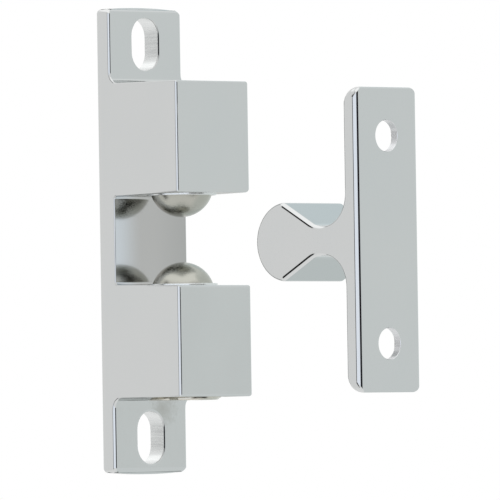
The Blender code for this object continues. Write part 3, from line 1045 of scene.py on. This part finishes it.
def plated(name, tints, rough, lines, relief):
    """Plated metal with clouds of tint, and polishing lines, in cycles per millimetre along X, Y and Z."""
    material, tree, shader = new_metal(name, rough[0])
    broad = noise(tree, millimetres(tree), CLOUDS)
    scratches = noise(tree, millimetres(tree, lines), 1.0, 3)
    tint = blend_colours(tree, broad, *tints)
    finish(tree, shader, tint, between(tree, scratches, *rough), (broad, WAVE_DEPTH), (scratches, relief))
    return material


def polished_chrome(name):
    tints = ((0.575, 0.59, 0.59), (0.60, 0.605, 0.60))
    return plated(name, tints, (0.03, 0.09), (9, 9, 0.4), 0.00006 * MM)


def milled_chrome(name, *tints):
    return plated(name, tints, (0.2, 0.34), (0.3, 8, 8), 0.0015 * MM)


print("plated metals ready")

# %% [markdown]
# The lower fronts were brushed up and down. A darker patch in the corner at the lower jaw's root is painted
# shade. A distance from one point masks it, and a noise breaks up what would be a perfect circle.

# %% Brush the lower fronts
# painted shade in the corner at the lower jaw's root: its middle in millimetres, its reach and its tint
ROOT_SHADE_PLACE = (2.45, 2.2, -21.6)
ROOT_SHADE_SIZE = 5.5
ROOT_SHADE_TINT = (0.44, 0.44, 0.42)


def retint(material, mask, tint):
    """Lays another tint over a metal's own, where a mask says."""
    tree = material.node_tree
    base = tree.nodes["Principled BSDF"].inputs["Base Color"]
    tree.links.new(blend_colours(tree, mask, base.links[0].from_socket, tint), base)


def brushed_chrome(name):
    tints = ((0.55, 0.56, 0.555), (0.59, 0.60, 0.595))
    material = plated(name, tints, (0.08, 0.18), (10, 10, 0.25), 0.0003 * MM)
    tree = material.node_tree
    place = millimetres(tree)
    # painted shade: the tint darkens towards one point at the lower jaw's root
    offset = add_node(tree, "ShaderNodeVectorMath", {0: place, 1: ROOT_SHADE_PLACE}, operation="DISTANCE")
    reach = maths(tree, "MULTIPLY", noise(tree, place, 2.2, 4), ROOT_SHADE_SIZE)
    inputs = {"Value": offset.outputs["Value"], "From Min": reach, "From Max": 0.0}
    retint(material, add_node(tree, "ShaderNodeMapRange", inputs).outputs["Result"], ROOT_SHADE_TINT)
    return material


print("brushed metal ready")

# %% [markdown]
# No wheel gets into the gap, so it stays as it was milled, across the width, and duller than the outside.
# Its tint is darkened by painted shade between the jaws. Two broad ramps lay on more painted shade towards
# the far edge and a painted reflection of the cool panel towards the near one.

# %% Leave the gap unpolished
GAP_SHADE_AND_REFLECTION = (
    # start and end in millimetres across the catch, tint; painted shade first, then a painted reflection
    (0.0, 6.6, (0.435, 0.43, 0.42)),
    (-1.5, -6.6, (0.61, 0.635, 0.67)),
)


def unpolished_chrome(name):
    # painted shade between the jaws: these tints are darker than the polished outside's
    tints = ((0.475, 0.465, 0.455), (0.495, 0.485, 0.475))
    material = plated(name, tints, (0.09, 0.14), (3, 0.25, 3), 0.0003 * MM)
    tree = material.node_tree
    axes = add_node(tree, "ShaderNodeSeparateXYZ", {0: millimetres(tree)})
    # the ramps paint shade towards the far edge and a cool reflection towards the near one
    for start, end, tint in GAP_SHADE_AND_REFLECTION:
        inputs = {"Value": axes.outputs["Y"], "From Min": start, "From Max": end}
        ramp = add_node(tree, "ShaderNodeMapRange", inputs, interpolation_type="SMOOTHSTEP")
        retint(material, ramp.outputs["Result"], tint)
    return material


print("unpolished metal ready")

# %% [markdown]
# ## Bare metals
# The balls are hardened steel, tumbled to a satin grey with no direction in it. The plugs are turned and
# nickel-plated, warmer than chrome, with rings round their axis. The springs are drawn wire. Each tint
# wanders between two close tones, so that no face is one flat colour.

# %% Mix the bare metals
def satin_steel(name):
    material, tree, shader = new_metal(name, 0.15)
    grain = noise(tree, millimetres(tree), 5.0, 3)
    cloud = noise(tree, millimetres(tree), 0.35)
    tint = blend_colours(tree, cloud, (0.38, 0.38, 0.34), (0.46, 0.46, 0.415))
    finish(tree, shader, tint, between(tree, grain, 0.21, 0.28), (grain, 0.0001 * MM))
    return material


def turned_nickel(name):
    material, tree, shader = new_metal(name, 0.25)
    rings = noise(tree, millimetres(tree, (0.6, 0.6, 9)), 1.0, 3)
    tint = blend_colours(tree, rings, (0.56, 0.54, 0.47), (0.63, 0.61, 0.555))
    finish(tree, shader, tint, between(tree, rings, 0.18, 0.30), (rings, 0.0008 * MM))
    return material


def spring_wire(name):
    material, tree, shader = new_metal(name, 0.3)
    drawn = noise(tree, millimetres(tree), 3.0, 3)
    tint = blend_colours(tree, drawn, (0.40, 0.40, 0.41), (0.50, 0.50, 0.51))
    finish(tree, shader, tint, None, (drawn, 0.0008 * MM))
    return material


print("bare metals ready")

# %% [markdown]
# ## Dressing the castings
# Each piece takes the place of the plain solid it refines and rides on its body. A casting has several
# finishes, so its faces are sorted by their place and direction.
# Cutting the piece up would do it too, but the real one is whole.

# %% Helpers for dressing
SQUARE = 0.1
ROUND_TOLERANCE = 0.03 * MM


def dress(piece, node, slot, *materials):
    piece.data.materials.clear()
    for material in materials:
        piece.data.materials.append(material)
    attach(piece, node)
    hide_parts(node)


def paint_faces(piece, index, test):
    """Gives the faces whose middle and direction pass a test another of the piece's materials."""
    found = [face for face in piece.data.polygons if test(face.center, face.normal)]
    for face in found:
        face.material_index = index
    print("faces of", piece.name, "in", piece.data.materials[index].name, "-", len(found))


print("a normal is square to an axis if it has under", SQUARE, "along it")

# %% [markdown]
# On the catch, the slots' walls and the staked rings keep a tool's marks, the lower fronts are brushed with
# painted shade at the root, and the unpolished gap between its rounded edges has painted light and shade.

# %% Dress the catch
def on_slot_wall(middle, direction):
    return abs(direction.x) < SQUARE and off_slot_outline(middle) < ROUND_TOLERANCE


def on_lower_front(middle, direction):
    by_plate = PLATE_THICKNESS - TINY < middle.x < PLATE_THICKNESS + JAW_ROOT_RADIUS
    on_plate = by_plate and middle.z < -JAW_OUTER_Z
    on_jaw = near(middle.x, JAW_REACH) and middle.z < 0
    return (on_plate or on_jaw) and abs(direction.y) < SQUARE and direction.z < SQUARE


def in_gap(middle, direction):
    between_jaws = abs(middle.z) < GAP_HALF and PLATE_THICKNESS < middle.x < JAW_REACH - LOWER_ROUND
    return between_jaws and abs(middle.y) < SIDE - GAP_FAR_ROUND


def on_collar(middle, direction):
    from_ball = math.hypot(middle.x - BALL_X, middle.y)
    return from_ball < COLLAR_RADIUS + TINY and COLLAR_Z - TINY < abs(middle.z) < GAP_HALF


dress(
    casting, "catch_body", "body_chrome",
    polished_chrome("polished_chrome_catch"),
    milled_chrome("milled_chrome_slots", (0.68, 0.695, 0.69), (0.73, 0.745, 0.74)),
    brushed_chrome("brushed_chrome_lower_front_root_shade"),
    unpolished_chrome("unpolished_chrome_gap_light_and_shade"),
)
for index, test in ((1, on_slot_wall), (2, on_lower_front), (3, in_gap), (1, on_collar)):
    paint_faces(casting, index, test)

# %% [markdown]
# The strike is polished all over, apart from its screw holes and their countersinks.

# %% Dress the strike
COUNTERSINK_RADIUS = SCREW_HOLE / 2 + STRIKE_THICKNESS - SCREW_HOLE_WALL


def in_screw_hole(middle, direction):
    from_hole = math.hypot(middle.y, abs(middle.z - STRIKE_Z) - SCREW_SPACING / 2)
    in_reach = middle.x > STRIKE_FRONT and from_hole < COUNTERSINK_RADIUS + TINY
    return in_reach and abs(direction.x) < 1 - SQUARE


dress(
    strike, "strike", "strike_chrome",
    polished_chrome("polished_chrome_strike"),
    milled_chrome("milled_chrome_holes", (0.60, 0.61, 0.62), (0.65, 0.66, 0.67)),
)
paint_faces(strike, 1, in_screw_hole)

# %% [markdown]
# The balls, plugs and springs have one finish each.

for place, ball in (("upper", upper_ball), ("lower", lower_ball)):
    dress(ball, place + "_ball", place + "_ball_steel", satin_steel(place + "_ball_satin_steel"))
    plug_node = place + "_adjuster"
    dress(plugs[place], plug_node, plug_node + "_nickel", turned_nickel(place + "_plug_nickel"))
    spring_node = place + "_spring"
    dress(springs[place], spring_node, spring_node + "_steel", spring_wire(place + "_spring_wire"))
    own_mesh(springs[place])

# %% [markdown]
# ## The studio
# Chrome has no colour of its own: it shows the room. The room here is a white tent. Behind the camera stands
# a brighter, cooler panel, and beside it a dark gap. On a flat face none of that shows, but each rounded edge
# sweeps through the room, so the panel becomes a pale band and the gap a thin black line. Lamps and boards
# could stand round the object, but painted on the world they bring no noise.

# %% List the studio's panels
FAR = 400
STUDIO = (
    # colour, azimuths, elevations, softness of the edges, all in degrees
    ((1.42, 1.42, 1.42), (-FAR, FAR), (41, FAR), 3),
    ((1.08, 1.08, 1.08), (-FAR, FAR), (-FAR, -41), 3),
    ((0.88, 0.92, 0.92), (31, 130), (-60, 56), 1.5),
    ((1.02, 1.05, 1.05), (60, 130), (42, 56), 3),
    ((0.75, 0.84, 0.865), (108, 130), (20, 42), 3),
    ((0.71, 0.765, 0.765), (104, 130), (-60, -20), 3),
    ((0.30, 0.30, 0.28), (132, 150), (-9, 9), 1.5),
    ((1.18, 1.24, 1.36), (-109, -23), (-14, 12), 2),
    ((0.02, 0.02, 0.025), (-21, 30), (-8, 9), 2),
    ((0.02, 0.02, 0.02), (-128, -111), (-41, 38), 2),
)
print("panels in the studio:", len(STUDIO))

# %% [markdown]
# A direction in the room has an azimuth and an elevation. Each panel is a mask of four soft edges, two in
# each angle, and the panels are laid over the tent one after the other. The camera itself sees plain white.

# %% Paint the studio in the world
def studio_panel(tree, direction, colour_in, colour, turn, tilt, soft):
    """Lays a soft-edged panel over the room, between two azimuths and two elevations in degrees."""
    ramps = []
    for angle, (low, high) in zip(direction, (turn, tilt)):
        for edge, slope in ((low, soft), (high, -soft)):
            inputs = {"Value": angle, "From Min": edge - slope, "From Max": edge + slope}
            ramp = add_node(tree, "ShaderNodeMapRange", inputs, interpolation_type="SMOOTHSTEP")
            ramps.append(ramp.outputs["Result"])
    mask = ramps[0]
    for ramp in ramps[1:]:
        mask = maths(tree, "MULTIPLY", mask, ramp)
    return blend_colours(tree, mask, colour_in, colour)


def build_world():
    world = bpy.data.worlds.new("studio_tent")
    bpy.context.scene.world = world
    world.use_nodes = True
    tree = world.node_tree
    place = add_node(tree, "ShaderNodeTexCoord")
    axes = add_node(tree, "ShaderNodeSeparateXYZ", {0: place.outputs["Generated"]})
    turn = maths(tree, "ARCTAN2", axes.outputs["Y"], axes.outputs["X"])
    tilt = maths(tree, "ARCSINE", axes.outputs["Z"])
    direction = [maths(tree, "MULTIPLY", angle, math.degrees(1)) for angle in (turn, tilt)]
    colour = add_node(tree, "ShaderNodeRGB").outputs[0]
    colour.default_value = (1.0, 1.0, 1.0, 1)
    for panel in STUDIO:
        colour = studio_panel(tree, direction, colour, *panel)
    path = add_node(tree, "ShaderNodeLightPath")
    seen = blend_colours(tree, path.outputs["Is Camera Ray"], colour, (1, 1, 1))
    background = tree.nodes["Background"]
    tree.links.new(seen, background.inputs["Color"])
    background.inputs["Strength"].default_value = 1.0
    return tree


print("studio painted with", len(build_world().nodes), "nodes")
bpy.context.scene.view_settings.view_transform = "Standard"

# %% [markdown]
# ## The floor
# A pale sheet lies below the catch and the camera, so that from above the object has a ground to throw its
# shadow on. A door latch is looked at from below too, so the sheet's underside is clear: the Backfacing
# output tells the two sides apart.

# %% Lay the floor
FLOOR_Z = -60 * MM
FLOOR_SIZE = 4.0
FLOOR_TONE = 0.86


def lay_floor():
    bpy.ops.object.select_all(action="DESELECT")
    bpy.ops.mesh.primitive_plane_add(size=FLOOR_SIZE, location=(0, 0, FLOOR_Z))
    floor = bpy.context.object
    floor.name = "studio_floor"
    material = bpy.data.materials.new("pale_floor")
    material.use_nodes = True
    tree = material.node_tree
    shader = tree.nodes["Principled BSDF"]
    shader.inputs["Base Color"].default_value = (FLOOR_TONE, FLOOR_TONE, FLOOR_TONE, 1)
    shader.inputs["Roughness"].default_value = 0.9
    underside = add_node(tree, "ShaderNodeNewGeometry").outputs["Backfacing"]
    clear = add_node(tree, "ShaderNodeBsdfTransparent").outputs["BSDF"]
    sides = add_node(tree, "ShaderNodeMixShader", {0: underside, 1: shader.outputs["BSDF"], 2: clear})
    tree.links.new(sides.outputs["Shader"], tree.nodes["Material Output"].inputs["Surface"])
    floor.data.materials.append(material)
    floor.visible_glossy = False


lay_floor()
print("floor laid", round(-FLOOR_Z / MM), "mm below the middle")
